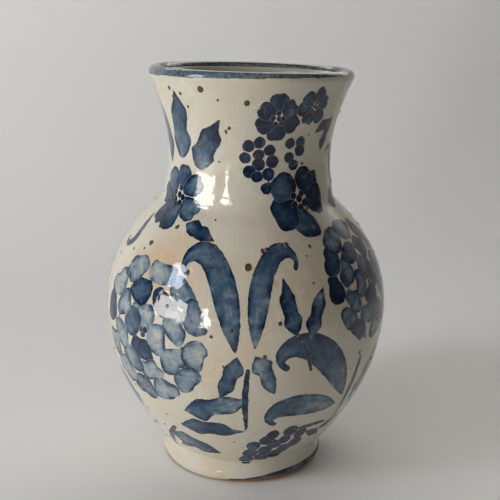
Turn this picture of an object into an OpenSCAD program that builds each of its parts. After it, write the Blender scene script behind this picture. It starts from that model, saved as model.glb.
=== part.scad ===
// Hand-thrown pottery vase: round belly, waisted neck, flared lip and turned foot ring.
// The clay is four pieces luted together leather-hard. Thin coats of glaze cover it.
// Every wall is worked out from one outline, so that clay and glaze meet face to face.
// Millimetres, +Z up. The origin is the centre of the foot ring's resting face.

/* [Heights] */
// Height of the foot ring, where the belly springs from it
foot_h = 12; // [10:0.5:14]
// Height of the belly's widest line
belly_z = 87; // [80:1:95]
// Height where the shoulder turns up into the neck
root_z = 143; // [138:1:147]
// Height of the neck's narrowest line
waist_z = 166; // [160:1:172]
// Overall height, to the top of the lip
vase_h = 209.5; // [204:1:220]

/* [Radii] */
// Radius of the foot ring's outside
foot_r = 42.7; // [40:0.1:45]
// Radius of the belly at its widest
belly_r = 73.8; // [68:0.1:78]
// Radius where the shoulder meets the neck
root_r = 45.8; // [45:0.1:48]
// Radius of the neck at its narrowest
waist_r = 41.4; // [39:0.1:43]
// Radius of the mouth, over the rolled lip
mouth_r = 51.5; // [49:0.1:55]

/* [Walls] */
// Wall just above the floor
wall_low = 6.4; // [5.5:0.1:7]
// Wall at the belly's widest line
wall_belly = 5.6; // [5:0.1:6.5]
// Wall of the neck, up to its narrowest line
wall_neck = 4.8; // [4.2:0.1:5.6]
// Thickness of the rolled lip
wall_lip = 6.2; // [5.4:0.1:7]
// Height of the floor's underside, which is the depth of the foot's hollow
recess_h = 7; // [5:0.5:8]
// Thickness of the floor
floor_t = 6; // [5:0.5:8]
// Width of the ring of clay that the vase stands on
ring_w = 5; // [4:0.5:6]
// Thickness of a coat of glaze
glaze_t = 0.4; // [0.3:0.05:0.6]

/* [Coloured bands] */
// Height of bare clay left below the glaze on the foot
bare_h = 3; // [2:0.5:4]
// Width of the blue line at the foot
foot_band_h = 2.8; // [2:0.1:4]
// Width of the blue band on the outside of the lip, below its rounding
lip_band_out = 0.4; // [0.2:0.1:0.7]
// Width of the blue band on the inside of the lip, below its rounding
lip_band_in = 1.2; // [0.8:0.1:4]

/* [Hidden] */
$fn = 128;
clay = "#a8703c";
cream = "#cfc6b2";
blue = "#4a5f7a";

// Slopes of the outline: millimetres of radius gained for each millimetre of height
mouth_slope = 0.45;
shoulder_slope = -1.1;
belly_foot_slope = 0.8;
neck_foot_slope = -0.2;
foot_top_slope = -0.15;
foot_low_slope = 0.2;

lip_r = wall_lip / 2;                                    // radius of the rolled lip
lip_tilt = atan(mouth_slope);                            // how far the lip's root leans out
mouth_z = vase_h - lip_r - lip_r * sin(lip_tilt);        // where the outline runs into the lip
mouth_out_r = mouth_r - lip_r + lip_r * cos(lip_tilt);   // radius there
collar_r = root_r - 2.6;                                 // radius just above the neck's root
collar_h = 7;                                            // height of the curve at the neck's root
flare_r = foot_r + 2.2;                                  // radius just above the foot ring
flare_h = 3;                                             // height of the curve above the foot ring
floor_z = recess_h + floor_t;

// The outline's stations from foot to lip: height, radius, slope. A cubic joins each to the next.
stations = [
    [bare_h, foot_r - 0.4, foot_low_slope],
    [foot_h / 2, foot_r, 0],
    [foot_h, foot_r - 0.5, foot_top_slope],
    [foot_h + flare_h, flare_r, belly_foot_slope],
    [belly_z, belly_r, 0],
    [root_z, root_r, shoulder_slope],
    [root_z + collar_h, collar_r, neck_foot_slope],
    [waist_z, waist_r, 0],
    [mouth_z, mouth_out_r, mouth_slope],
];

function span(z) = max([for (i = [0:len(stations) - 2]) if (z >= stations[i][0]) i]);

// Radius of the outline at height z
function outline(z) =
    let (a = stations[span(z)], b = stations[span(z) + 1])
    let (h = b[0] - a[0], t = (z - a[0]) / h)
    a[1] * (2 * t ^ 3 - 3 * t ^ 2 + 1) + a[2] * h * (t ^ 3 - 2 * t ^ 2 + t)
    + b[1] * (3 * t ^ 2 - 2 * t ^ 3) + b[2] * h * (t ^ 3 - t ^ 2);

// Slope of the outline at height z
function slope(z) =
    let (a = stations[span(z)], b = stations[span(z) + 1])
    let (h = b[0] - a[0], t = (z - a[0]) / h)
    (a[1] - b[1]) * (6 * t ^ 2 - 6 * t) / h + a[2] * (3 * t ^ 2 - 4 * t + 1)
    + b[2] * (3 * t ^ 2 - 2 * t);

// The point that lies at a depth under the outline, square to it, as [radius, height]
function under(z, depth) =
    let (m = slope(z))
    [outline(z), z] + depth / sqrt(1 + m ^ 2) * [-1, m];

function wall(z) = lookup(z, [
    [foot_h, wall_low], [belly_z, wall_belly], [root_z, wall_neck],
    [waist_z, wall_neck], [mouth_z, wall_lip]]);

// Faces between two coats, from the outside in. Each is a row of points for a list of heights.
function glaze_face(zs) = [for (z = zs) under(z, 0)];
function clay_outside(zs) = [for (z = zs) under(z, glaze_t)];
function clay_inside(zs) = [for (z = zs) under(z, wall(z) - glaze_t)];
function bore_face(zs) = [for (z = zs) under(z, wall(z))];
function turned(points) = [for (i = [len(points) - 1:-1:0]) points[i]];

// Heights shared by every coat, so that their faces match point for point
foot_band_z = bare_h + foot_band_h;
bowl_z = 28;                                             // where the bore curves in to the floor
lip_out_z = mouth_z - lip_band_out;
lip_in_z = mouth_z - lip_band_in;
breaks = [bare_h, foot_band_z, foot_h, foot_h + flare_h, bowl_z, belly_z,
          root_z, root_z + collar_h, waist_z, lip_in_z, lip_out_z, mouth_z];
step_h = 2.6;                                            // tallest step between two heights
rows = [for (i = [0:len(breaks) - 2])
            let (n = max(2, ceil((breaks[i + 1] - breaks[i]) / step_h)))
            for (k = [0:n - 1]) breaks[i] + (breaks[i + 1] - breaks[i]) * k / n,
        mouth_z];

function heights(low, high) = [for (z = rows) if (z > low - 0.01 && z < high + 0.01) z];

// The rounding of the lip from outside to inside, at a radius about the lip's own centre
function lip_arc(r) =
    [for (i = [0:12]) let (a = -lip_tilt + 180 * i / 12)
        under(mouth_z, lip_r) + r * [cos(a), sin(a)]];

// The curve from the bore down to the middle of the floor, at a depth under the liner
floor_flat_r = 26;                                       // radius of the floor's flat middle
floor_pull = 10;                                         // how hard the curve is drawn into its corner
function bowl(depth) =
    let (m = slope(bowl_z), down = [-m, -1] / sqrt(1 + m ^ 2))
    let (p0 = under(bowl_z, wall(bowl_z) - depth), p3 = [floor_flat_r, floor_z - depth])
    let (p1 = p0 + floor_pull * down, p2 = p3 + [floor_pull, 0])
    [for (i = [1:10]) let (t = i / 10, u = 1 - t)
        u ^ 3 * p0 + 3 * u ^ 2 * t * p1 + 3 * u * t ^ 2 * p2 + t ^ 3 * p3,
     [0, floor_z - depth]];

clay_edge = under(bare_h, glaze_t);                      // where the foot's rounding meets its side
foot_round = 1.8;                                        // how far the rounding stands in from there
ring_in_r = clay_edge[0] - foot_round - ring_w;
ring_chamfer = 0.6;                                      // inner edge of the resting face
draft = 1;                                               // how far the hollow's wall leans out by its top
seat = [ring_in_r + draft, recess_h];                    // where the bowl is luted on

// A ring of clay or glaze, turned from its cross-section
module turn(points) {
    rotate_extrude() polygon(points);
}

// The ring that the vase stands on. Its top is bevelled to seat the bowl.
module foot_ring() {
    color(clay) turn(concat(
        [[ring_in_r + ring_chamfer, 0]],
        [for (a = [0:18:72])
            [clay_edge[0] - foot_round * (1 - sin(a)), clay_edge[1] * (1 - cos(a))]],
        clay_outside(heights(bare_h, foot_h)),
        [seat, [ring_in_r, ring_chamfer]]));
}

// The thrown bowl: floor and lower wall, up to the widest line
module lower_body() {
    color(clay) turn(concat(
        [[0, recess_h], seat],
        clay_outside(heights(foot_h, belly_z)),
        turned(clay_inside(heights(bowl_z, belly_z))),
        bowl(glaze_t)));
}

// The thrown dome that closes the belly in to the neck
module shoulder() {
    zs = heights(belly_z, root_z);
    color(clay) turn(concat(clay_outside(zs), turned(clay_inside(zs))));
}

// The thrown collar with its rolled lip
module neck() {
    zs = heights(root_z, mouth_z);
    color(clay) turn(concat(
        clay_outside(zs), lip_arc(lip_r - glaze_t), turned(clay_inside(zs))));
}

// The cream coat outside, from the foot's blue line to the lip's blue band
module outer_glaze() {
    zs = heights(foot_band_z, lip_out_z);
    color(cream) turn(concat(glaze_face(zs), turned(clay_outside(zs))));
}

// The cream coat inside, floor and wall
module liner_glaze() {
    zs = heights(bowl_z, lip_in_z);
    color(cream) turn(concat(
        turned(clay_inside(zs)), bowl(glaze_t), turned(bowl(0)), bore_face(zs)));
}

// The coat in the hollow under the floor
module base_glaze() {
    color(cream) translate([0, 0, recess_h - glaze_t])
        cylinder(h = glaze_t, r = ring_in_r + draft / 2);
}

// The blue line where the glaze ends on the foot
module foot_band() {
    zs = heights(bare_h, foot_band_z);
    color(blue) turn(concat(glaze_face(zs), turned(clay_outside(zs))));
}

// The blue band over the lip
module lip_band() {
    outside = heights(lip_out_z, mouth_z);
    inside = heights(lip_in_z, mouth_z);
    color(blue) turn(concat(
        glaze_face(outside), lip_arc(lip_r), turned(bore_face(inside)),
        clay_inside(inside), turned(lip_arc(lip_r - glaze_t)), turned(clay_outside(outside))));
}

foot_ring();
lower_body();
shoulder();
neck();
outer_glaze();
liner_glaze();
base_glaze();
foot_band();
lip_band();
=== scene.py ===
import math
import random

import bmesh
import bpy
from mathutils import Matrix, Vector, kdtree, noise


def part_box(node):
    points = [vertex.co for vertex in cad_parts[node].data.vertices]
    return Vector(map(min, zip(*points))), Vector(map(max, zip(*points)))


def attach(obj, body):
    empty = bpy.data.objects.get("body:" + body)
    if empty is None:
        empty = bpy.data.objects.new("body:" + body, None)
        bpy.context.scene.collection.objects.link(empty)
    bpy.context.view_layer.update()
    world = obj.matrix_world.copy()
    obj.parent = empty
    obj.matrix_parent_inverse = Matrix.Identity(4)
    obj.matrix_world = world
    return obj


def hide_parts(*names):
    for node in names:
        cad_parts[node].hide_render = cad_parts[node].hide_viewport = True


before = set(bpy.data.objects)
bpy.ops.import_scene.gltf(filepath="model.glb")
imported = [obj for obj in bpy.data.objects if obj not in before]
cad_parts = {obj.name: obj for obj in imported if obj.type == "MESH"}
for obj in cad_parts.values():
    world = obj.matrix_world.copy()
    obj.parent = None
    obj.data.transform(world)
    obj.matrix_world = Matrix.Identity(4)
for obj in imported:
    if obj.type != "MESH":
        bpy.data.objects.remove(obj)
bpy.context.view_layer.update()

mm = 0.001


def fromHex(text):  # an sRGB hex colour, turned to linear
    parts = [int(text[i:i + 2], 16) / 255 for i in (1, 3, 5)]
    return tuple(c / 12.92 if c <= 0.04045 else ((c + 0.055) / 1.055) ** 2.4 for c in parts) + (1.0,)


# inputs: socket name or number -> value or another node's output; stops: (position, hex) along a colour
# ramp; output: the one that is given back
def addNode(tree, kind, inputs=None, stops=(), output=0, **settings):
    node = tree.nodes.new("ShaderNode" + kind)
    for name, value in settings.items():
        setattr(node, name, value)
    for socket, value in (inputs or {}).items():
        if isinstance(value, bpy.types.NodeSocket):
            tree.links.new(value, node.inputs[socket])
        else:
            node.inputs[socket].default_value = value
    for i, (position, colour) in enumerate(stops):
        element = node.color_ramp.elements[i] if i < 2 else node.color_ramp.elements.new(position)
        element.position = position
        element.color = fromHex(colour)
    return node.outputs[output] if node.outputs else None


def newMaterial(name):
    material = bpy.data.materials.new(name)
    material.use_nodes = True
    material.node_tree.nodes.clear()
    return material, material.node_tree


def finishMaterial(tree, colour, normal=None, **values):  # values: shader sockets that are even all over
    inputs = {"Base Color": colour}
    if normal:
        inputs["Normal"] = normal
    inputs.update({name.replace("_", " "): value for name, value in values.items()})
    shader = addNode(tree, "BsdfPrincipled", inputs)
    addNode(tree, "OutputMaterial", {"Surface": shader})


def finishFaces(bm):
    bmesh.ops.recalc_face_normals(bm, faces=bm.faces)
    for face in bm.faces:
        face.smooth = True


def meshObject(name, bm, material):
    mesh = bpy.data.meshes.new(name)
    bm.to_mesh(mesh)
    bm.free()
    mesh.materials.append(material)
    made = bpy.data.objects.new(name, mesh)
    bpy.context.scene.collection.objects.link(made)
    return made


def addPiece(name, bm, material, replaces=()):
    piece = meshObject(name, bm, material)
    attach(piece, "root")
    if replaces:
        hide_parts(*replaces)


def topOf(node):
    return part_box(node)[1][2] / mm


def radiusOf(node):
    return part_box(node)[1][1] / mm


outline = {  # mm, and slopes in mm of radius for each mm of height
    "bareHeight": 3, "footHeight": 12, "footRadius": radiusOf("foot_band"), "flareHeight": 15,
    "bellyHeight": topOf("lower_body"),
    "bellyRadius": radiusOf("outer_glaze"),
    "rootHeight": 143, "rootRadius": 45.8,
    "waistHeight": 166, "waistRadius": 41.4,
    "mouthRadius": radiusOf("lip_band"),
    "vaseHeight": topOf("lip_band"),
    "lipRadius": 3.1,  # of the rolled lip's section
    "mouthSlope": 0.45,
    "wallLow": 6.4, "wallBelly": 5.6, "wallNeck": 4.8,
    "floorHeight": 13, "bowlHeight": 28,
    "floorFlat": 26, "floorPull": 10,  # radius of the flat middle; how far its corner is drawn in
}
lipRadius = outline["lipRadius"]
lipTilt = math.atan(outline["mouthSlope"])
mouthHeight = outline["vaseHeight"] - lipRadius * (1 + math.sin(lipTilt))
stations = [  # height, radius, slope; a cubic joins each to the next
    (outline["bareHeight"], outline["footRadius"] - 0.4, 0.2),
    (outline["footHeight"] / 2, outline["footRadius"], 0),
    (outline["footHeight"], outline["footRadius"] - 0.5, -0.15),
    (outline["flareHeight"], outline["footRadius"] + 2.2, 0.8),
    (outline["bellyHeight"], outline["bellyRadius"], 0),
    (outline["rootHeight"], outline["rootRadius"], -1.1),
    (outline["rootHeight"] + 7, outline["rootRadius"] - 2.6, -0.2),
    (outline["waistHeight"], outline["waistRadius"], 0),
    (mouthHeight, outline["mouthRadius"] - lipRadius * (1 - math.cos(lipTilt)), outline["mouthSlope"]),
]


def outlineAt(height):  # radius and slope
    index = max(i for i in range(len(stations) - 1) if i == 0 or height >= stations[i][0])
    (z0, r0, m0), (z1, r1, m1) = stations[index], stations[index + 1]
    h = z1 - z0
    t = min(max((height - z0) / h, 0), 1)
    radius = (r0 * (2 * t ** 3 - 3 * t ** 2 + 1) + m0 * h * (t ** 3 - 2 * t ** 2 + t)
              + r1 * (3 * t ** 2 - 2 * t ** 3) + m1 * h * (t ** 3 - t ** 2))
    slope = ((r0 - r1) * (6 * t * t - 6 * t) / h + m0 * (3 * t * t - 4 * t + 1) + m1 * (3 * t * t - 2 * t))
    return radius, slope


def wallAt(height):
    marks = [(outline["footHeight"], "wallLow"), (outline["bellyHeight"], "wallBelly"),
             (outline["rootHeight"], "wallNeck"), (outline["waistHeight"], "wallNeck")]
    marks = [(z, outline[name]) for z, name in marks] + [(mouthHeight, 2 * lipRadius)]
    for (z0, w0), (z1, w1) in zip(marks, marks[1:]):
        if height <= z1:
            return w0 + (w1 - w0) * min(max((height - z0) / (z1 - z0), 0), 1)
    return marks[-1][1]


def under(height, depth):  # radius and height of the point at a depth below the glaze
    radius, slope = outlineAt(height)
    length = math.hypot(1, slope)
    return radius - depth / length, height + depth * slope / length


# Throwing leaves soft rings and a slightly uneven round, both within a quarter of a millimetre.
throwing = {
    "ringPitch": 8.5, "ringDepth": 0.035,
    "swell": 0.14, "swellScale": 0.022, "dimple": 0.035, "dimpleScale": 0.11,
    "beadHeight": 4, "beadReach": 1.8, "bead": 1.0,  # the glaze gathers in a bead round the foot
    "rimTilt": 0.95, "tiltFrom": 176,  # the mouth is a little lower at the back, as it left the wheel
    "still": 5,  # radius of the floor's middle, which stays even
}


def unevenness(angle, height):
    radius = outlineAt(height)[0]
    place = Vector((radius * math.sin(angle), -radius * math.cos(angle), height))
    ring = math.sin(2 * math.pi * height / throwing["ringPitch"] + angle)
    bead = throwing["bead"] * math.exp(-((height - throwing["beadHeight"]) / throwing["beadReach"]) ** 2)
    return (bead + throwing["ringDepth"] * ring
            + throwing["swell"] * noise.noise(place * throwing["swellScale"])
            + throwing["dimple"] * noise.noise(place * throwing["dimpleScale"]))


def tiltAt(y, height):
    share = min(max((height - throwing["tiltFrom"]) / (outline["vaseHeight"] - throwing["tiltFrom"]), 0), 1)
    return -throwing["rimTilt"] * y / outline["mouthRadius"] * share ** 2 * (3 - 2 * share)


def onSurface(degrees, height, lift=0.0):  # degrees to the right of the front
    angle = math.radians(degrees)
    radius, z = under(height, -lift - unevenness(angle, height))
    y = -radius * math.cos(angle)
    return Vector((radius * math.sin(angle), y, z + tiltAt(y, z))) * mm


def spread(low, high, step):  # even values from low to high, both included
    count = max(1, round(abs(high - low) / step))
    return [low + (high - low) * i / count for i in range(count + 1)]


def placeOf(vert):  # angle to the right of the front, radius and height
    return math.atan2(vert.co.x, -vert.co.y), math.hypot(vert.co.x, vert.co.y) / mm, vert.co.z / mm


def turn(section, steps, uneven=True):  # a closed shell turned from its section, a loop of (radius, height)
    bm = bmesh.new()
    verts = [bm.verts.new((0, -radius * mm, height * mm)) for radius, height in section]
    edges = [bm.edges.new(pair) for pair in zip(verts, verts[1:] + verts[:1])
             if pair[0].co.y or pair[1].co.y]
    bmesh.ops.spin(bm, geom=verts + edges, axis=(0, 0, 1), cent=(0, 0, 0), angle=2 * math.pi, steps=steps,
                   use_merge=True)
    bmesh.ops.remove_doubles(bm, verts=bm.verts, dist=0.01 * mm)
    finishFaces(bm)
    for vert in bm.verts:
        angle, radius, height = placeOf(vert)
        if uneven and radius > throwing["still"]:
            slope = outlineAt(height)[1]
            out = Vector((math.sin(angle), -math.cos(angle), -slope)).normalized()
            vert.co += out * unevenness(angle, height) * mm
            vert.co.z += tiltAt(vert.co.y / mm, height) * mm
    return bm


def lipArc(radius, first, last, count=10):  # points round the rolled lip; degrees from outside over the top
    centre = under(mouthHeight, lipRadius)
    return [(centre[0] + radius * math.cos(math.radians(a)), centre[1] + radius * math.sin(math.radians(a)))
            for a in spread(first, last, (last - first) / count)]


# Cream glaze over buff clay, poured on and fired: glossy, and warmer where it runs thin.
# Iron in the clay bleeds through as brown specks, and the glaze crazes as it cools.
glaze = {
    "coats": [(0.34, "#cabfa8"), (0.47, "#cdc6b5"), (0.66, "#cac7bb")],  # thin and warm to thick and cool
    "patch": 24,  # mm across a patch of thicker or thinner glaze
    "blush": "#cba67c",
    "blushes": [(-4, 96, 38, 0.2), (50, 108, 30, 0.2), (-36, 120, 26, 0.6), (-13, 3.5, 3, 0.5),
                (12, 116.5, 2.5, 0.7)],  # degrees, height and reach in mm, share
    "craze": "#e0d9ca", "crazeShow": 0.55, "crazeLine": (0.006, 0.035),  # shares of the colour and of a cell
    "crazeCell": 6.5, "crazeBend": 12, "crazePatch": 20,  # mm across a cell, a bend and a crazed patch
    "crazeTurn": (0.3, 0.5, 0.2), "crazeStretch": (1, 1, 0.6), "crazeRange": (0.4, 0.6),
    "iron": "#7a5634", "speckCell": 3.4, "speckRadius": 0.42,  # mm
    "speckFew": 0.62, "speckShow": 0.75,  # shares of the cells that stay bare, and of the colour
    "wave": 6, "bump": 0.26, "peelScale": 1.3, "peel": 0.014,  # mm
    "gloss": {"Roughness": 0.08, "IOR": 1.58},
}


def crazing(tree, place):  # hairlines that the glaze cracks into, finer than they are drawn
    bend = addNode(tree, "TexNoise", {"Vector": place, "Scale": 1 / (glaze["crazeBend"] * mm),
                                      "Detail": 2.0}, output="Color")
    bent = addNode(tree, "MixRGB", {0: glaze["crazeCell"] * mm, 1: place, 2: bend}, blend_type="ADD")
    turned = addNode(tree, "Mapping", {0: bent, 2: glaze["crazeTurn"], 3: glaze["crazeStretch"]})
    cells = addNode(tree, "TexVoronoi", {"Vector": turned, "Scale": 1 / (glaze["crazeCell"] * mm)},
                    feature="DISTANCE_TO_EDGE")
    here = addNode(tree, "TexNoise", {"Vector": place, "Scale": 1 / (glaze["crazePatch"] * mm)})
    bare, crazed = glaze["crazeRange"]
    show = addNode(tree, "MapRange", {0: here, 1: bare, 2: crazed, 3: 0.0, 4: glaze["crazeShow"]})
    thin, wide = glaze["crazeLine"]
    line = addNode(tree, "MapRange", {0: cells, 1: thin, 2: wide, 3: 1.0, 4: 0.0})
    return addNode(tree, "Math", {0: line, 1: show}, operation="MULTIPLY")


def glazeColour(tree, place):
    patches = addNode(tree, "TexNoise", {"Vector": place, "Scale": 1 / (glaze["patch"] * mm), "Detail": 7.0,
                                         "Roughness": 0.66})
    cream = addNode(tree, "ValToRGB", {0: patches}, stops=glaze["coats"])
    for degrees, height, reach, share in glaze["blushes"]:
        away = addNode(tree, "VectorMath", {0: place, 1: onSurface(degrees, height)}, operation="DISTANCE",
                       output="Value")
        ragged = addNode(tree, "Math", {0: patches, 1: reach * mm * 1.2, 2: away}, operation="MULTIPLY_ADD")
        fade = {0: ragged, 1: reach * mm * 0.8, 2: reach * mm * 1.6, 3: share, 4: 0.0}
        blush = addNode(tree, "MapRange", fade, interpolation_type="SMOOTHSTEP")
        cream = addNode(tree, "MixRGB", {0: blush, 1: cream, 2: fromHex(glaze["blush"])})
    crazed = addNode(tree, "MixRGB", {0: crazing(tree, place), 1: cream, 2: fromHex(glaze["craze"])})
    dots = addNode(tree, "TexVoronoi", {"Vector": place, "Scale": 1 / (glaze["speckCell"] * mm)})
    chance = addNode(tree, "SeparateColor", {0: dots.node.outputs["Color"]})
    largest = glaze["speckRadius"] / glaze["speckCell"]
    size = addNode(tree, "MapRange", {0: chance, 1: glaze["speckFew"], 2: 1.0, 3: 0.0, 4: largest})
    inside = addNode(tree, "Math", {0: size, 1: dots}, operation="SUBTRACT")
    speck = addNode(tree, "MapRange", {0: inside, 1: 0.0, 2: 0.03, 3: 0.0, 4: glaze["speckShow"]})
    return addNode(tree, "MixRGB", {0: speck, 1: crazed, 2: fromHex(glaze["iron"])})


def glazeSurface(tree, place):  # the poured coat's faint waviness, which breaks up reflections
    waves = addNode(tree, "TexNoise", {"Vector": place, "Scale": 1 / (glaze["wave"] * mm), "Detail": 2.0,
                                       "Roughness": 0.4})
    wavy = addNode(tree, "Bump", {"Height": waves, "Distance": glaze["bump"] * mm})
    peel = addNode(tree, "TexNoise", {"Vector": place, "Scale": 1 / (glaze["peelScale"] * mm), "Detail": 2.0})
    return addNode(tree, "Bump", {"Height": peel, "Distance": glaze["peel"] * mm, "Normal": wavy})


def objectPlace(tree):
    return addNode(tree, "TexCoord", output="Object")


def speckledCreamGlaze():
    material, tree = newMaterial("speckledCreamGlaze")
    place = objectPlace(tree)
    finishMaterial(tree, glazeColour(tree, place), glazeSurface(tree, place), **glaze["gloss"])
    return material


# The same glaze, poured in and out again: thinner and browner, and not as glossy.
lining = {"brown": "#a8946f", "brownShare": 0.22, "gloss": {"Roughness": 0.2, "IOR": 1.58}}


def linerCreamGlaze():
    material, tree = newMaterial("linerCreamGlaze")
    place = objectPlace(tree)
    stain = {0: lining["brownShare"], 1: glazeColour(tree, place), 2: fromHex(lining["brown"])}
    brown = addNode(tree, "MixRGB", stain, blend_type="MULTIPLY")
    finishMaterial(tree, brown, glazeSurface(tree, place), **lining["gloss"])
    return material


# Buff and orange earthenware, wiped clean of glaze: matt, gritty, toasted by the kiln.
clay = {
    "toasts": [(0.3, "#5a3a1c"), (0.5, "#9c6a35"), (0.72, "#b98a52")],
    "grit": 1.2, "gritRise": 0.12,  # mm; the grit is drawn coarse enough to show
}


def bareTurnedClay():
    material, tree = newMaterial("bareTurnedClay")
    place = objectPlace(tree)
    grit = addNode(tree, "TexNoise", {"Vector": place, "Scale": 1 / (clay["grit"] * mm), "Detail": 5.0,
                                      "Roughness": 0.7})
    colour = addNode(tree, "ValToRGB", {0: grit}, stops=clay["toasts"])
    bump = addNode(tree, "Bump", {"Height": grit, "Distance": clay["gritRise"] * mm})
    finishMaterial(tree, colour, bump, Roughness=0.82)
    return material


# Cobalt and iron brushed over the glaze on the lip: slate blue, which breaks to brown on the crest. Towards
# the
# # right it darkens to brown, and that brown is painted shade.
band = {
    "slates": [(0.3, "#2e373b"), (0.48, "#56636b"), (0.7, "#76868f")], "mottle": 2.2,  # mm
    "brown": "#33281a", "brownBreaks": 1.3, "brownRange": (0.22, 0.45),  # mm, and where it begins and is full
    # right: the brown painted shade grows from the first to the last x, up to rightShadeMost
    "right": (-10, 50), "rightShadeMost": 0.75,  # mm over which the brown gains at the right, and how much
    "gloss": {"Roughness": 0.12, "IOR": 1.58},
}


def slateBandGlaze():
    material, tree = newMaterial("slateBandGlaze")
    place = objectPlace(tree)
    mottle = addNode(tree, "TexNoise", {"Vector": place, "Scale": 1 / (band["mottle"] * mm), "Detail": 4.0,
                                        "Roughness": 0.65})
    slate = addNode(tree, "ValToRGB", {0: mottle}, stops=band["slates"])
    # painted shade: the band darkens to brown towards the right, along the object's X
    right = addNode(tree, "SeparateXYZ", {0: place})
    first, last = band["right"]
    side = addNode(tree, "MapRange", {0: right, 1: first * mm, 2: last * mm, 3: 0.0, 4: band["rightShadeMost"]})
    crest = addNode(tree, "Attribute", attribute_name="crest", output="Fac")
    thin = addNode(tree, "Math", {0: side, 1: crest}, operation="MAXIMUM")
    breaks = addNode(tree, "TexNoise", {"Vector": place, "Scale": 1 / (band["brownBreaks"] * mm),
                                        "Detail": 3.0})
    much = addNode(tree, "Math", {0: thin, 1: breaks}, operation="MULTIPLY")
    least, full = band["brownRange"]
    share = addNode(tree, "MapRange", {0: much, 1: least, 2: full, 3: 0.0, 4: 1.0})
    colour = addNode(tree, "MixRGB", {0: share, 1: slate, 2: fromHex(band["brown"])})
    finishMaterial(tree, colour, glazeSurface(tree, place), **band["gloss"])
    return material


# Cobalt ground in water and brushed on the raw glaze, one stroke at a time. The firing sinks it in, so it is
# as glossy as the cream. The wash pools dark along its edges, the bristles leave streaks, and thin paint lets
# the cream through.
cobalt = {
    "ramp": [(0.04, "#b4b2a7"), (0.2, "#87969e"), (0.4, "#51677a"), (0.58, "#2f4962"), (0.76, "#143050"),
             (0.95, "#041a36")],
    "edge": 1.1, "edgeDark": 0.68,  # mm, share
    "pool": 6, "poolRange": (0.36, 0.62),  # mm between the places where an edge pools
    "soft": 0.16,  # mm that the rim takes to fade into the cream
    "streak": 1.4, "streakLength": 10, "streakDark": 0.36,  # mm, mm, share
    "blot": 4.5, "blotDark": 0.55,  # mm, share
    "crazeShow": 0.12,  # share of the cream's crazing that shows through
}


def cobaltWash():
    material, tree = newMaterial("cobaltWash")
    place = objectPlace(tree)
    tone = addNode(tree, "Attribute", attribute_name="tone", output="Fac")
    inset = addNode(tree, "Attribute", attribute_name="inset", output="Fac")
    grain = addNode(tree, "Attribute", attribute_name="grain", output="Vector")
    blots = addNode(tree, "TexNoise", {"Vector": place, "Scale": 1 / (cobalt["blot"] * mm), "Detail": 3.0,
                                       "Roughness": 0.6})
    drawn = addNode(tree, "Mapping", {0: grain, 3: (1 / cobalt["streak"], 1 / cobalt["streakLength"], 1)})
    streaks = addNode(tree, "TexNoise", {"Vector": drawn, "Scale": 1.0, "Detail": 2.0, "Roughness": 0.6})
    depth = addNode(tree, "Math", {0: inset, 1: -1 / cobalt["edge"]}, operation="MULTIPLY")
    near = addNode(tree, "Math", {0: math.e, 1: depth}, operation="POWER")
    pools = addNode(tree, "TexNoise", {"Vector": place, "Scale": 1 / (cobalt["pool"] * mm), "Detail": 1.0})
    dry, full = cobalt["poolRange"]
    amount = addNode(tree, "MapRange", {0: pools, 1: dry, 2: full, 3: 0.1 * cobalt["edgeDark"],
                                        4: 1.5 * cobalt["edgeDark"]})
    pooled = addNode(tree, "Math", {0: near, 1: amount}, operation="MULTIPLY")
    density = addNode(tree, "Math", {0: tone, 1: pooled}, operation="ADD")
    for pattern, share in ((streaks, cobalt["streakDark"]), (blots, cobalt["blotDark"])):
        centred = addNode(tree, "Math", {0: pattern, 1: 0.5}, operation="SUBTRACT")
        density = addNode(tree, "Math", {0: centred, 1: share, 2: density}, operation="MULTIPLY_ADD")
    colour = addNode(tree, "ValToRGB", {0: density}, stops=cobalt["ramp"])
    cover = addNode(tree, "MapRange", {0: inset, 1: 0.0, 2: cobalt["soft"], 3: 0.1, 4: 1.0})
    mixed = addNode(tree, "MixRGB", {0: cover, 1: glazeColour(tree, place), 2: colour})
    faint = addNode(tree, "Math", {0: crazing(tree, place), 1: cobalt["crazeShow"]}, operation="MULTIPLY")
    crazed = addNode(tree, "MixRGB", {0: faint, 1: mixed, 2: fromHex(glaze["craze"])})
    finishMaterial(tree, crazed, glazeSurface(tree, place), **glaze["gloss"])
    return material


creamMaterial = speckledCreamGlaze()
linerMaterial = linerCreamGlaze()
clayMaterial = bareTurnedClay()
bandMaterial = slateBandGlaze()
cobaltMaterial = cobaltWash()


# The blue line round the foot wanders down to the table at the left and leaves a strip of bare clay at the
# # right. Where it runs low and thin along the foot's bottom edge at the left, its dark is partly painted
# shade.
footLine = {
    "middle": 3.4, "swing": 1.6, "sharp": 3, "turn": 9,  # mm, mm, how fast it changes sides, degrees
    "halfWidth": 1.25, "thinnest": 0.35,  # mm, and the share left where it is thin
    "lift": 0.05, "sunk": 0.3, "overlap": 0.6, "wander": 0.25,  # mm
    "tone": 0.5, "toneSwing": 0.2,
    "drawnAt": 6,  # the height at which it is turned, before it is laid on its way
}


def footLineSwing(angle):  # from -1, low and thin, to 1
    return math.tanh(footLine["sharp"] * math.sin(angle - math.radians(footLine["turn"])))


def footLineHeight(angle):
    return footLine["middle"] + footLine["swing"] * footLineSwing(angle)


coat = {
    "thickness": 0.35, "rowStep": 1.0, "backStep": 2, "steps": 288,
    "overLip": 70,  # degrees of the lip that it covers
    "low": 2.2, "even": 9,  # below this height its edge follows the blue line
}


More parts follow.
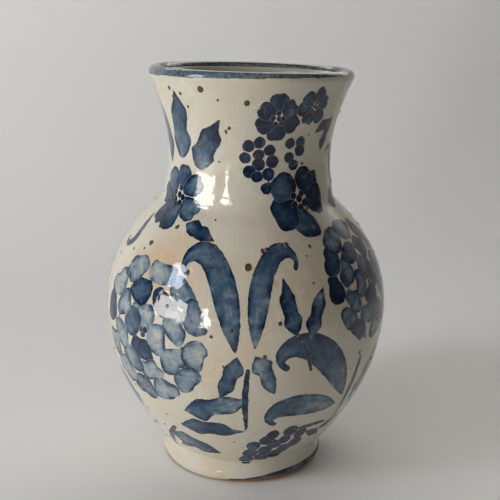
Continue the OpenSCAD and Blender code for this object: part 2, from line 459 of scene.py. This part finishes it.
def makeOuterGlaze():
    heights = spread(coat["low"], mouthHeight, coat["rowStep"])
    back = spread(mouthHeight, coat["low"], coat["backStep"])
    first = -math.degrees(lipTilt)
    section = ([under(z, 0) for z in heights[:-1]] + lipArc(lipRadius, first, coat["overLip"])
               + lipArc(lipRadius - coat["thickness"], coat["overLip"], first)
               + [under(z, coat["thickness"]) for z in back[1:]])
    bm = turn(section, coat["steps"])
    for vert in bm.verts:  # the coat ends under the wandering blue line
        angle, radius, height = placeOf(vert)
        if height < coat["even"]:
            share = (coat["even"] - height) / (coat["even"] - coat["low"])
            depth = 0 if radius > outlineAt(height)[0] - coat["thickness"] / 2 else coat["thickness"]
            height += share * (footLineHeight(angle) - footLine["overlap"] - coat["low"])
            vert.co = onSurface(math.degrees(angle), height, -depth)
    addPiece("outerGlaze", bm, creamMaterial, ["outer_glaze"])


inner = {"gap": 0.1, "rowStep": 2, "steps": 160, "bowlSteps": 16, "backSteps": 8, "floorRing": 13}  # mm


def makeNeckClay():  # the thrown collar, under its coats
    depth = coat["thickness"] + inner["gap"]
    heights = spread(outline["rootHeight"], mouthHeight, inner["rowStep"])
    first = -math.degrees(lipTilt)
    section = ([under(z, depth) for z in heights[:-1]] + lipArc(lipRadius - depth, first, first + 180)
               + [under(z, wallAt(z) - depth) for z in heights[-2::-1]])
    addPiece("neckClay", turn(section, inner["steps"]), clayMaterial, ["neck"])


def bowlCurve(depth, count):  # from the bore's foot in to the middle of the floor
    slope = outlineAt(outline["bowlHeight"])[1]
    start = Vector(under(outline["bowlHeight"], wallAt(outline["bowlHeight"]) - depth))
    end = Vector((outline["floorFlat"], outline["floorHeight"] - depth))
    down = Vector((-slope, -1)).normalized()
    pull = outline["floorPull"]
    knots = [start, start + pull * down, end + Vector((pull, 0)), end]
    weights = [((1 - t) ** 3, 3 * (1 - t) ** 2 * t, 3 * (1 - t) * t * t, t ** 3)
               for t in spread(0, 1, 1 / count)]
    return [tuple(sum((w * knot for w, knot in zip(row, knots)), Vector((0, 0)))) for row in weights]


def makeLiner():
    heights = spread(mouthHeight, outline["bowlHeight"], inner["rowStep"])
    bore = [under(z, wallAt(z)) for z in heights]
    back = [under(z, wallAt(z) - coat["thickness"]) for z in reversed(heights[::4])]
    floor = outline["floorHeight"]
    middle = [(inner["floorRing"], floor), (0, floor), (0, floor - coat["thickness"])]
    section = (bore[:-1] + bowlCurve(0, inner["bowlSteps"]) + middle
               + bowlCurve(coat["thickness"], inner["backSteps"])[::-1] + back[1:])
    addPiece("linerGlaze", turn(section, inner["steps"]), linerMaterial, ["liner_glaze"])


foot = {"coatDepth": 0.4, "rounding": 1.8, "ringWidth": 5, "chamfer": 0.6, "hollowDraft": 1, "hollow": 7,
        "rowStep": 1.5, "steps": 256}  # mm


def makeFoot():  # the turned ring; only its lowest few millimetres are bare
    edge = under(outline["bareHeight"], foot["coatDepth"])
    side = [under(z, foot["coatDepth"])
            for z in spread(outline["bareHeight"], outline["footHeight"], foot["rowStep"])]
    hollowRadius = edge[0] - foot["rounding"] - foot["ringWidth"]
    curve = [(edge[0] - foot["rounding"] * (1 - math.sin(a)), edge[1] * (1 - math.cos(a)))
             for a in spread(0, math.pi / 2, math.pi / 16)]
    section = ([(hollowRadius + foot["chamfer"], 0)] + curve[:-1] + side
               + [(hollowRadius + foot["hollowDraft"], foot["hollow"]), (hollowRadius, foot["chamfer"])])
    bm = turn(section, foot["steps"], uneven=False)
    addPiece("turnedFoot", bm, clayMaterial, ["foot_ring"])


lipBand = {
    "lift": 0.06, "sunk": 0.3, "rowStep": 0.5, "sweep": 190,  # mm, and the degrees that it covers of the lip
    "edge": 206.6, "tilt": 1.3, "wander": 0.35, "margin": 0.4,  # mm
    "waver": 9,  # how fast the brush wavers; 1 is once round
    "crest": 1.6, "crestReach": 0.5, "outer": 0.9,  # in from the mouth's radius, in radii of the lip
    "halfway": 0.1,  # mm under the glaze, between the band's face and its back
}


def bandEdge(angle):  # height of the band's lower edge: lower on the left, uneven as a brush leaves it
    ragged = noise.noise(Vector((math.sin(angle), math.cos(angle), 0)) * lipBand["waver"])
    return lipBand["edge"] + lipBand["tilt"] * math.sin(angle) + lipBand["wander"] * ragged


def makeLipBand():
    lift, sunk = lipBand["lift"], lipBand["sunk"]
    lowest = lipBand["edge"] - lipBand["tilt"] - lipBand["wander"] - lipBand["margin"]
    outside = [under(z, -lift) for z in spread(lowest, mouthHeight, lipBand["rowStep"])]
    first = -math.degrees(lipTilt)
    last = first + lipBand["sweep"]
    over = lipArc(lipRadius + lift, first, last, 24)
    hidden = lipArc(lipRadius - sunk, last, first, 8) + [under(lowest, sunk)]
    section = outside[:-1] + over + hidden
    bm = turn(section, coat["steps"])
    crest = bm.verts.layers.float.new("crest")
    for vert in bm.verts:
        angle, radius, height = placeOf(vert)
        away = abs(outline["mouthRadius"] - lipBand["crest"] * lipRadius - radius)
        vert[crest] = min(max(1 - away / (lipBand["crestReach"] * lipRadius), 0), 1)
        height -= tiltAt(vert.co.y / mm, outline["vaseHeight"])
        short = bandEdge(angle) - height
        if short > 0 and radius > outline["mouthRadius"] - lipBand["outer"] * lipRadius:
            outer = radius > outlineAt(height)[0] - lipBand["halfway"]
            vert.co = onSurface(math.degrees(angle), height + short, lift if outer else -sunk)
    addPiece("lipBand", bm, bandMaterial, ["lip_band"])


makeFoot()
makeNeckClay()
makeOuterGlaze()
makeLiner()
makeLipBand()
print("pot made")

for node, material in [("lower_body", clayMaterial), ("shoulder", clayMaterial),
                       ("base_glaze", linerMaterial)]:
    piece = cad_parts[node]
    piece.data.materials.clear()
    piece.data.materials.append(material)


def paintLayers(bm):  # how dark the paint is, how far in from its edge, and the place across and along it
    layers = bm.verts.layers
    return layers.float.new("tone"), layers.float.new("inset"), layers.float_vector.new("grain")


def makeFootLine():
    half, lift, sunk = footLine["halfWidth"], footLine["lift"], footLine["sunk"]
    base = footLine["drawnAt"]
    offsets = spread(-half, half, half / 4)
    section = [under(base + t, -lift) for t in offsets] + [under(base + t, sunk) for t in (half, -half)]
    bm = turn(section, coat["steps"], uneven=False)
    toneOf, insetOf, grainOf = paintLayers(bm)
    for vert in bm.verts:
        angle, radius, height = placeOf(vert)
        offset = height - base
        outer = radius > outlineAt(base)[0] - sunk / 2
        fade = noise.noise(Vector((math.sin(angle), math.cos(angle), 0)) * 4)
        vert[toneOf] = footLine["tone"] + footLine["toneSwing"] * fade
        width = footLine["thinnest"] + (1 - footLine["thinnest"]) * (1 + footLineSwing(angle)) / 2
        vert[insetOf] = max(half - abs(offset), 0) * width
        vert[grainOf] = (offset, math.degrees(angle), 0)
        wander = footLine["wander"] * noise.noise(Vector((math.sin(angle), math.cos(angle), offset)) * 7)
        height = footLineHeight(angle) + offset * width + wander
        vert.co = onSurface(math.degrees(angle), height, lift if outer else -sunk)
    addPiece("footLine", bm, cobaltMaterial, ["foot_band"])


makeFootLine()


# The painting is a stock pattern of folk pottery, put together from simple motifs: full blooms, small
# flowers, leaves, comma scrolls and berries. Each is drawn in millimetres about its own root and grows
# upwards. A stroke is a tone, a shape and a pool of darker paint (x, y, reach, amount). The shape is an
# outline of (x, y), a line of (x, y, width) or one dab (x, y, half width, half height).
motif = {
    "petal": [(0.14, 0), (0.36, 0.2), (0.49, 0.52), (0.42, 0.84), (0.2, 0.98), (0, 0.96), (-0.22, 0.99),
              (-0.44, 0.82), (-0.49, 0.48), (-0.34, 0.18), (-0.14, 0)],  # shares of the width and the length
    "shake": 0.03,  # how unsteady the hand is, as a share of the width
    "petalFill": 1.0,  # share of the ring's room that a petal takes
    "flowerEye": 0.24,  # share of a flower's radius left for its eye
    "flowerTones": (0.26, 0.58),
    "bloomRings": [(0.08, 0.42, 4), (0.4, 0.73, 8), (0.7, 1.03, 12)],  # from and to in radii, petals
    "bloomTones": (0.1, 0.14, 0.2, 0.3, 0.42, 0.6),
    "berryStep": 1.78, "berryStray": 0.16,  # rows apart and strays, in radii
    "scrollSteps": 14, "scrollWinds": 0.7,  # how much shorter its strides are at the end
    "leafNotch": 0.74,  # share of the half width left at a leaf's notches
    "leafRound": 0.75, "leafFull": 0.7,  # powers: a leaf is widest below its middle, and full
}


def shaken(points, width, draws):
    amount = motif["shake"] * width
    return [(point[0] + draws.gauss(0, amount), point[1] + draws.gauss(0, amount), *point[2:])
            for point in points]


def moved(strokes, x, y, degrees):  # turned clockwise about its root, then shifted
    turnBy = Matrix.Rotation(-math.radians(degrees), 2)

    def put(point):
        return (*(turnBy @ Vector(point[:2]) + Vector((x, y))), *point[2:])

    return [(tone, [put(point) for point in shape], put(pool)) for tone, shape, pool in strokes]


def petal(length, width, tone, draws):
    side = draws.choice((-0.4, 0.4)) * width
    pool = (side, length * draws.choice((0.1, 0.85)), length * 0.4, draws.uniform(0.1, 0.42))
    return [(tone, shaken([(x * width, y * length) for x, y in motif["petal"]], width, draws), pool)]


def berries(draws, radius, rows):  # a bunch, its rows counted from the root
    strokes = []
    for row, count in enumerate(rows):
        for i in range(count):
            x = (i - (count - 1) / 2) * 2 * radius + draws.gauss(0, motif["berryStray"] * radius)
            y = row * motif["berryStep"] * radius + draws.gauss(0, motif["berryStray"] * radius)
            size = [radius * draws.uniform(0.8, 1.0) for _ in range(2)]
            strokes.append((draws.uniform(0.34, 0.7), [(x, y, *size)], (x + radius, y, radius, 0.3)))
    return strokes


def flower(draws, radius, count):  # one ring of petals round a dark eye
    strokes = []
    width = 1.5 * radius * math.sin(math.pi / count) * motif["petalFill"]
    for i in range(count):
        angle = 360 * (i + draws.uniform(-0.1, 0.1)) / count
        root = Matrix.Rotation(-math.radians(angle), 2) @ Vector((0, motif["flowerEye"] * radius))
        length = (1 - motif["flowerEye"]) * radius * draws.uniform(0.88, 1.08)
        made = petal(length, width, draws.uniform(*motif["flowerTones"]), draws)
        strokes += moved(made, *root, angle + draws.uniform(-6, 6))
    return strokes + moved(berries(draws, 0.11 * radius, (2, 3, 1)), 0, -0.2 * radius, 0)


def bloom(draws, radius):  # rings of petals, each set over the gaps of the last
    strokes = []
    for ring, (inner, outer, count) in enumerate(motif["bloomRings"]):
        width = 2 * math.pi * (0.35 * inner + 0.65 * outer) * radius / count * motif["petalFill"]
        for i in range(count):
            angle = 360 * (i + ring / 2 + draws.uniform(-0.12, 0.12)) / count
            root = Matrix.Rotation(-math.radians(angle), 2) @ Vector((0, inner * radius))
            tone = draws.choice(motif["bloomTones"])
            made = petal((outer - inner) * radius * draws.uniform(0.92, 1.04), width, tone, draws)
            strokes += moved(made, *root, angle + draws.uniform(-9, 9))
    return strokes + moved(berries(draws, 0.045 * radius, (1, 2)), 0, -0.03 * radius, 0)


def leaf(draws, length, width, lobes, bend):  # bend: how far the tip leans over, as a share of the length
    marks = []  # share of the length, share of the half width
    for i in range(lobes):
        for place, full in ((i + 0.62, 1), (i + 0.98, motif["leafNotch"])):  # a lobe, then a notch
            share = place / (lobes + 0.35)
            swell = math.sin(math.pi * share ** motif["leafRound"]) ** motif["leafFull"]
            marks.append((share, full * swell))
    right = [(width / 2 * full, share * length) for share, full in marks]
    left = [(-width / 2 * full, (share + draws.uniform(-0.03, 0.03)) * length) for share, full in marks[::-1]]
    edge = shaken([(0, 0)] + right + [(0, length)] + left, width, draws)
    side = draws.choice((-0.3, 0.3)) * width
    pool = (side, length * draws.uniform(0.2, 0.8), length * 0.25, draws.uniform(0.15, 0.4))
    return [(draws.uniform(0.24, 0.52), [(x + bend * y * y / length, y) for x, y in edge], pool)]


# A comma that swells from a thin root and winds up; a positive curl, in degrees, goes right
def scroll(draws, length, width, curl):
    points = []
    x = y = 0
    heading = math.radians(-0.18 * curl)
    steps = motif["scrollSteps"]
    for i in range(steps + 1):
        share = i / steps
        points.append((x, y, max(width * math.sin(math.pi * share ** 0.7), (0.1 + 0.12 * share) * width)))
        stride = 1.5 * length / steps * (1 - motif["scrollWinds"] * share)
        x += stride * math.sin(heading)
        y += stride * math.cos(heading)
        heading += math.radians(curl) * share ** 1.5 * 2.5 / steps
    last = points[steps // 2]
    return [(draws.uniform(0.26, 0.44), points, (last[0], last[1], 0.2 * length, draws.uniform(0.1, 0.25)))]


def stem(draws, length, width, bend):
    points = [(bend * length * t * t, length * t, width * (0.3 + 0.8 * math.sin(math.pi * (0.1 + 0.75 * t))))
              for t in spread(0, 1, 0.125)]
    return [(draws.uniform(0.4, 0.6), shaken(points, width, draws), (0, 0, 4, 0.3))]


# Motif, degrees to the right of the front, height, turn clockwise in degrees, then the motif's own sizes. The
# pattern fills half the way round. It is painted twice, and no two motifs come out the same. The washes say
# how much darker a group is.
layout = {
    "neckSpray": [
        (leaf, -51, 167, -4, 33, 16, 2, 0.12), (leaf, -37, 163, 24, 28, 14, 2, 0.12),
        (leaf, -66, 162, -10, 36, 10, 2, -0.1), (scroll, -66, 138, -135, 30, 4, 300),
        (flower, -51, 149, 12, 16, 7), (leaf, -35, 138, 108, 20, 9, 2, 0.1)],
    "neckFlowers": [
        (flower, 17, 189, 0, 12, 6), (flower, 40, 194, 20, 9.5, 6),
        (berries, 3, 177, 165, 3.1, (2, 3, 3, 2, 1)), (berries, 30, 177, 176, 2.9, (2, 2, 1)),
        (leaf, 46, 181, 50, 14, 6, 1, 0.2), (leaf, 55, 172, 8, 18, 6, 2, 0.2),
        (scroll, 77, 154, -48, 26, 4, -260)],
    "bloom": [(bloom, -41, 87, 10, 35), (stem, -50, 14, 14, 34, 2.8, 0.12)],
    "plume": [
        (scroll, -3, 86, -62, 64, 12, -300), (scroll, 4, 88, 52, 58, 10, 270),
        (leaf, 4, 84, 146, 24, 10, 2, 0.15), (leaf, -2, 83, 192, 26, 10, 2, 0.1),
        (stem, 2, 42, -4, 38, 2.6, 0.1), (leaf, 20, 92, -18, 27, 10, 2, 0.12),
        (leaf, 25, 91, 14, 24, 9, 2, 0.15), (stem, 26, 74, -14, 16, 2, -0.1)],
    "lowLeaves": [
        (leaf, -25, 49, 74, 36, 15, 2, -0.1), (leaf, -30, 38, 84, 34, 12, 2, 0.1),
        (scroll, -40, 19, 96, 24, 4.5, 200), (leaf, -41, 28, 108, 28, 14, 2, 0.1),
        (leaf, -56, 38, -34, 28, 10, 2, 0.1), (leaf, -66, 26, -50, 22, 9, 2, 0.1)],
    "broadScrolls": [
        (scroll, 47, 54, -80, 68, 15, -270), (scroll, 44, 49, -112, 46, 13, -220),
        (stem, 51, 38, 0, 40, 2.8, 0.08), (leaf, 56, 46, 22, 32, 9, 2, 0.1),
        (leaf, 68, 44, 8, 34, 12, 2, -0.1)],
    "sideBloom": [
        (bloom, 60, 110, 0, 30), (flower, 35, 150, 30, 16.5, 5), (leaf, 70, 142, 10, 16, 11, 2, 0)],
    "lowBerries": [
        (berries, 3, 15, 42, 4, (1, 2, 3, 3, 3, 2)), (stem, 26, 38, 84, 18, 2, 0.1),
        (leaf, 33, 34, 112, 14, 6, 1, 0.1), (leaf, 42, 32, 70, 14, 6, 1, -0.1)],
    "farLeaf": [
        (leaf, 93, 84, 0, 42, 14, 2, 0), (leaf, 86, 152, 0, 32, 9, 2, 0.1),
        (scroll, 84, 54, -40, 34, 7, -280), (berries, 76, 14, -8, 3.5, (1, 2, 3, 2, 1)),
        (leaf, 92, 186, 8, 16, 8, 2, 0.1)],
}
washes = {"neckFlowers": 0.2, "sideBloom": 0.14, "neckSpray": 0.06, "lowBerries": 0.04, "bloom": 0.04}


drawing = {
    "step": 0.8, "curveStep": 0.6, "corner": 100,  # mm, mm, degrees past which a turn stays a corner
    "lift": 0.03, "layer": 0.004, "sunk": 0.05,  # mm: out of the glaze, over the last stroke, into the glaze
    "ragged": 0.3, "raggedLength": 1.8, "grow": 0.15,  # mm
    "dabTilt": 0.35, "dabSides": 24,  # radians
    "apart": 7.3, "grainApart": 3.7,  # so that each stroke meets the noise at another place
}


def smoothLine(points, closed):  # a smooth curve through the points
    points = [Vector(point) for point in points]
    count = len(points)

    def at(i):
        return points[i % count] if closed else points[min(max(i, 0), count - 1)]

    def slopeAt(i, chord):
        before, after = at(i) - at(i - 1), at(i + 1) - at(i)
        flat = before.xy.length > 0 and after.xy.length > 0
        if not flat or before.xy.angle(after.xy) > math.radians(drawing["corner"]):
            return chord
        return (at(i + 1) - at(i - 1)).normalized() * chord.length

    line = []
    for i in range(count if closed else count - 1):
        chord = at(i + 1) - at(i)
        m0, m1 = slopeAt(i, chord), slopeAt(i + 1, chord)
        for t in spread(0, 1, 1 / max(2, round(chord.xy.length / drawing["curveStep"])))[:-1]:
            line.append(at(i) * (2 * t ** 3 - 3 * t * t + 1) + m0 * (t ** 3 - 2 * t * t + t)
                        + at(i + 1) * (3 * t * t - 2 * t ** 3) + m1 * (t ** 3 - t * t))
    return line if closed else line + [points[-1]]


def brushLine(points):  # the edge and the middle of a line that a round brush draws
    line = smoothLine(points, closed=False)
    left, right = [], []
    for i, point in enumerate(line):
        along = (line[min(i + 1, len(line) - 1)] - line[max(i - 1, 0)]).xy.normalized()
        side = Vector((-along.y, along.x)) * point.z / 2
        left.append(point.xy + side)
        right.append(point.xy - side)
    caps = []
    for middle, start in ((line[-1].xy, left[-1]), (line[0].xy, right[0])):
        caps.append([middle + Matrix.Rotation(math.radians(-a), 2) @ (start - middle) for a in (45, 90, 135)])
    return left + caps[0] + right[::-1] + caps[1], [point.xy for point in line]


def dab(x, height, across, high, tilt):  # one press of the brush
    turned = Matrix.Rotation(tilt, 2)
    angles = spread(0, 2 * math.pi, 2 * math.pi / drawing["dabSides"])[:-1]
    edge = [Vector((x, height)) + turned @ Vector((across * math.sin(a), high * math.cos(a))) for a in angles]
    return edge, [Vector((x, height)) + turned @ Vector((0, high * t)) for t in spread(-1, 1, 0.25)]


def strokeShape(shape, draws, seed):  # the edge and the middle line
    if len(shape) == 1:
        edge, middle = dab(*shape[0], draws.uniform(-drawing["dabTilt"], drawing["dabTilt"]))
    elif len(shape[0]) == 3:
        edge, middle = brushLine(shape)
    else:
        edge = [point.xy for point in smoothLine([(x, z, 0) for x, z in shape], closed=True)]
        tip = max(edge, key=lambda point: (point - edge[0]).length)
        middle = [edge[0].lerp(tip, t) for t in spread(0, 1, 0.1)]
    way = 1 if sum(a.x * b.y - b.x * a.y for a, b in zip(edge, edge[1:] + edge[:1])) > 0 else -1
    ragged = []
    for i, point in enumerate(edge):
        along = (edge[(i + 1) % len(edge)] - edge[i - 1]).normalized()
        place = Vector((point.x, point.y, seed * drawing["apart"])) / drawing["raggedLength"]
        side = Vector((along.y, -along.x)) * way
        wander = noise.noise(place) + 0.5 * noise.noise(place * 2.7)
        ragged.append(point + side * (drawing["grow"] + drawing["ragged"] * wander))
    return ragged, middle


def treeOf(points):
    tree = kdtree.KDTree(len(points))
    for i, point in enumerate(points):
        tree.insert((point.x, point.y, 0), i)
    tree.balance()
    return tree


# The strokes on the unrolled wall, in millimetres round and up, and the millimetres that a degree takes there
def onWall(strokes, degrees, height):
    lean = 1 / math.sqrt(1 + outlineAt(height)[1] ** 2)  # a leaning wall shows less height

    def put(point, scale):
        return (degrees * scale + point[0], height + point[1] * lean, *point[2:])

    for tone, shape, pool in strokes:
        middle = height + lean * sum(point[1] for point in shape) / len(shape)
        scale = outlineAt(middle)[0] * math.pi / 180
        yield tone, [put(point, scale) for point in shape], put(pool, scale), scale


def paint(name, side, motifs, halfTurn, seed):
    draws = random.Random(seed)
    bm = bmesh.new()
    strokeOf = bm.faces.layers.int.new("stroke")
    drawn = []
    for draw, degrees, height, lean, *sizes in motifs:
        strokes = moved(draw(draws, *sizes), 0, 0, lean + draws.uniform(-3, 3))
        for tone, shape, pool, scale in onWall(strokes, degrees + halfTurn, height):
            edge, middle = strokeShape(shape, draws, seed + len(drawn))
            face = bm.faces.new([bm.verts.new((point.x / scale, point.y, 0)) for point in edge])
            face[strokeOf] = len(drawn)
            face.normal_update()
            if face.normal.z < 0:
                face.normal_flip()
            dense = [a.lerp(b, t) for a, b in zip(edge, edge[1:] + edge[:1]) for t in (0, 0.33, 0.67)]
            drawn.append((tone + washes.get(name, 0), pool, treeOf(dense), middle, treeOf(middle), scale))
    for axis in (0, 1):
        normal = Vector((1 - axis, axis, 0))
        places = [vert.co[axis] for vert in bm.verts]
        for mark in range(math.ceil(min(places) / drawing["step"]), math.ceil(max(places) / drawing["step"])):
            bmesh.ops.bisect_plane(bm, geom=bm.verts[:] + bm.edges[:] + bm.faces[:], dist=1e-5,
                                   plane_co=normal * mark * drawing["step"], plane_no=normal)
    bmesh.ops.triangulate(bm, faces=bm.faces)
    bmesh.ops.solidify(bm, geom=bm.faces[:], thickness=1)
    toneOf, insetOf, grainOf = paintLayers(bm)
    for edge in bm.edges:
        edge.smooth = edge.calc_face_angle(0) < 0.5
    for vert in bm.verts:
        index = vert.link_faces[0][strokeOf]
        tone, pool, edgeTree, middle, middleTree, scale = drawn[index]
        place = Vector((vert.co.x * scale, vert.co.y))
        nearest, number, _ = middleTree.find(place.to_3d())
        ahead, behind = middle[min(number + 1, len(middle) - 1)], middle[max(number - 1, 0)]
        along = (ahead - behind).normalized()
        offset = place - nearest.xy
        run = sum((b - a).length for a, b in zip(middle[:number], middle[1:number + 1]))
        gap = Vector(pool[:2]) - place
        vert[toneOf] = tone + pool[3] * math.exp(-(gap.length / pool[2]) ** 2)
        vert[insetOf] = edgeTree.find(place.to_3d())[2]
        across = along.x * offset.y - along.y * offset.x
        vert[grainOf] = (across, run + along.dot(offset), (seed + index) * drawing["grainApart"])
        lift = drawing["lift"] + drawing["layer"] * index if abs(vert.co.z) < 0.5 else -drawing["sunk"]
        vert.co = onSurface(vert.co.x, vert.co.y, lift)
    finishFaces(bm)
    addPiece(name + side, bm, cobaltMaterial)


for number, (name, motifs) in enumerate(layout.items()):
    for side, halfTurn in (("Front", 0), ("Back", 180)):
        paint(name, side, motifs, halfTurn, 100 * number + halfTurn)
print("painting done")


speck = {
    "craters": [(-28, 201, 1.7), (-34, 175, 1.4), (1, 123, 1.8), (5, 171, 1.3), (30, 167, 1.6),
                (-50, 127, 1.3), (-2, 196, 1.4), (-44, 62, 1.3)],  # the biggest ones: degrees, height, radius
    "count": 230, "sizes": (0.5, 0.5, 0.6, 0.7, 0.9, 1.1), "between": (14, 202),  # the rest: radii, heights
    "sides": 10, "rings": (1.15, 0.85, 0.45), "rise": (0.0, 0.1, 0.14),  # in radii
    "lift": 0.17, "crater": 1.3, "craterSunk": -0.06, "stray": 0.25,  # mm, mm, radii, share
    "rusts": [(0.42, "#0a0705"), (0.62, "#20140b"), (0.82, "#553820")], "rustScale": 0.8,  # mm
    "heart": "#7a4c26", "heartShow": 0.55, "fadeFrom": 0.9,
}


# Iron grains in the clay boil out through the glaze. Each leaves a dark brown bead, rusty in the middle, and
# the biggest leave a crater.
def boiledIron():
    material, tree = newMaterial("boiledIron")
    place = objectPlace(tree)
    rim = addNode(tree, "Attribute", attribute_name="rim", output="Fac")
    rust = addNode(tree, "TexNoise", {"Vector": place, "Scale": 1 / (speck["rustScale"] * mm),
                                      "Detail": 3.0})
    brown = addNode(tree, "ValToRGB", {0: rust}, stops=speck["rusts"])
    edge, side, top = speck["rings"]
    heart = addNode(tree, "MapRange", {0: rim, 1: top, 2: side, 3: speck["heartShow"], 4: 0.0})
    rusty = addNode(tree, "MixRGB", {0: heart, 1: brown, 2: fromHex(speck["heart"])})
    fade = addNode(tree, "MapRange", {0: rim, 1: speck["fadeFrom"], 2: edge, 3: 1.0, 4: 0.0})
    colour = addNode(tree, "MixRGB", {0: fade, 1: glazeColour(tree, place), 2: rusty})
    finishMaterial(tree, colour, glazeSurface(tree, place), Roughness=0.28, IOR=1.58)
    return material


def makeSpecks():
    draws = random.Random(3)
    places = list(speck["craters"])
    for _ in range(speck["count"]):
        places.append((draws.uniform(0, 360), draws.uniform(*speck["between"]), draws.choice(speck["sizes"])))
    bm = bmesh.new()
    rim = bm.verts.layers.float.new("rim")
    for degrees, height, radius in places:
        scale = outlineAt(height)[0] * math.pi / 180
        base = bmesh.ops.create_circle(bm, cap_ends=True, segments=speck["sides"], radius=radius)["verts"]
        made = bmesh.ops.extrude_face_region(bm, geom=base[0].link_faces[:], use_keep_orig=True)["geom"]
        face = next(item for item in made if isinstance(item, bmesh.types.BMFace))
        bump = [(vert, 0) for vert in base + face.verts[:]]
        for ring, (size, rise) in enumerate(zip(speck["rings"][1:], speck["rise"][1:]), 1):
            bmesh.ops.inset_individual(bm, faces=[face], thickness=0.0001)
            for vert in face.verts:
                vert.co = vert.co.normalized() * radius * size
                bump.append((vert, ring))
        for vert, ring in bump:
            stretch = 1 + speck["stray"] * noise.noise(Vector((vert.co.x, vert.co.y, degrees)) / radius)
            sunk = ring == 2 and radius >= speck["crater"]
            rise = speck["craterSunk"] if sunk else speck["rise"][ring]
            vert[rim] = speck["rings"][ring]
            lift = -drawing["sunk"] if vert in base else speck["lift"] * (ring > 0) + rise * radius
            vert.co = onSurface(degrees + vert.co.x * stretch / scale, height + vert.co.y * stretch, lift)
    finishFaces(bm)
    addPiece("ironSpecks", bm, boiledIron())


makeSpecks()


stage = {"pale": "#f1f1ef", "size": 3.0, "back": 0.55, "bend": 0.3, "bendStep": 0.17, "wall": 1.6}  # metres


def makeStage():
    bm = bmesh.new()
    half, back, bend = stage["size"] / 2, stage["back"], stage["bend"]
    line = [(-half, 0), (back - bend, 0)]
    line += [(back - bend + bend * math.sin(a), bend * (1 - math.cos(a)))
             for a in spread(0.2, math.pi / 2, stage["bendStep"])]
    line += [(back, stage["wall"])]
    verts = [bm.verts.new((-half, y, z)) for y, z in line]
    edges = [bm.edges.new(pair) for pair in zip(verts, verts[1:])]
    made = bmesh.ops.extrude_edge_only(bm, edges=edges)["geom"]
    ends = [item for item in made if isinstance(item, bmesh.types.BMVert)]
    bmesh.ops.translate(bm, verts=ends, vec=(stage["size"], 0, 0))
    finishFaces(bm)
    material, tree = newMaterial("palePaper")
    finishMaterial(tree, fromHex(stage["pale"]), Roughness=0.9)
    meshObject("paleStage", bm, material)


room = {"colour": "#d8d0c2", "strength": 0.09, "middle": 0.11}  # the lamps look at the vase's middle height
lamps = {  # name: azimuth left of the camera, elevation, distance, width, height, watts, colour
    "windowUpper": (63, 26, 1.35, 0.30, 0.46, 4.7, "#e4eeff"),
    "windowLower": (59, 4, 1.30, 0.60, 0.36, 7.2, "#fffaf2"),
    "windowBeside": (29, 3, 1.30, 0.14, 0.30, 1.9, "#fffaf2"),
    "wallWash": (-160, 50, 0.6, 1.2, 0.5, 6.0, "#ffffff"),
    "roomFill": (-35, 40, 1.6, 1.2, 1.2, 0.3, "#e8cfae"),
    "overhead": (20, 70, 1.2, 1.0, 1.0, 1.4, "#fff6ea"),
}


def makeLights():
    middle = Vector((0, 0, room["middle"]))
    for name, (azimuth, elevation, distance, width, height, watts, colour) in lamps.items():
        light = bpy.data.lights.new(name, "AREA")
        light.shape = "RECTANGLE"
        light.size, light.size_y, light.energy = width, height, watts
        light.color = fromHex(colour)[:3]
        lamp = bpy.data.objects.new(name, light)
        a, e = math.radians(azimuth), math.radians(elevation)
        aim = Vector((-math.sin(a) * math.cos(e), -math.cos(a) * math.cos(e), math.sin(e)))
        lamp.location = middle + aim * distance
        facing = -aim if name == "wallWash" else aim  # the wall wash shines away, on the paper behind
        lamp.rotation_euler = facing.to_track_quat("Z", "Y").to_euler()
        bpy.context.scene.collection.objects.link(lamp)
    world = bpy.data.worlds.new("room")
    world.use_nodes = True
    background = world.node_tree.nodes["Background"]
    background.inputs[0].default_value = fromHex(room["colour"])
    background.inputs[1].default_value = room["strength"]
    bpy.context.scene.world = world


view = {
    "distance": 0.4586, "height": 0.242, "right": 0.00165,  # metres
    "down": 15.6, "roll": 1.6,  # degrees
    "lens": 64.66, "sensor": 36,  # mm
}


def makeCamera():
    camera = bpy.data.objects.new("camera", bpy.data.cameras.new("camera"))
    camera.data.lens = view["lens"]
    camera.data.sensor_width = view["sensor"]
    tilted = Matrix.Rotation(math.radians(90 - view["down"]), 4, "X")
    rolled = Matrix.Rotation(math.radians(view["roll"]), 4, "Z")
    place = Matrix.Translation((view["right"], -view["distance"], view["height"]))
    camera.matrix_world = place @ tilted @ rolled
    bpy.context.scene.collection.objects.link(camera)
    bpy.context.scene.camera = camera


makeStage()
makeLights()
makeCamera()
bpy.context.scene.view_settings.view_transform = "Standard"
print("stage, light and camera made")
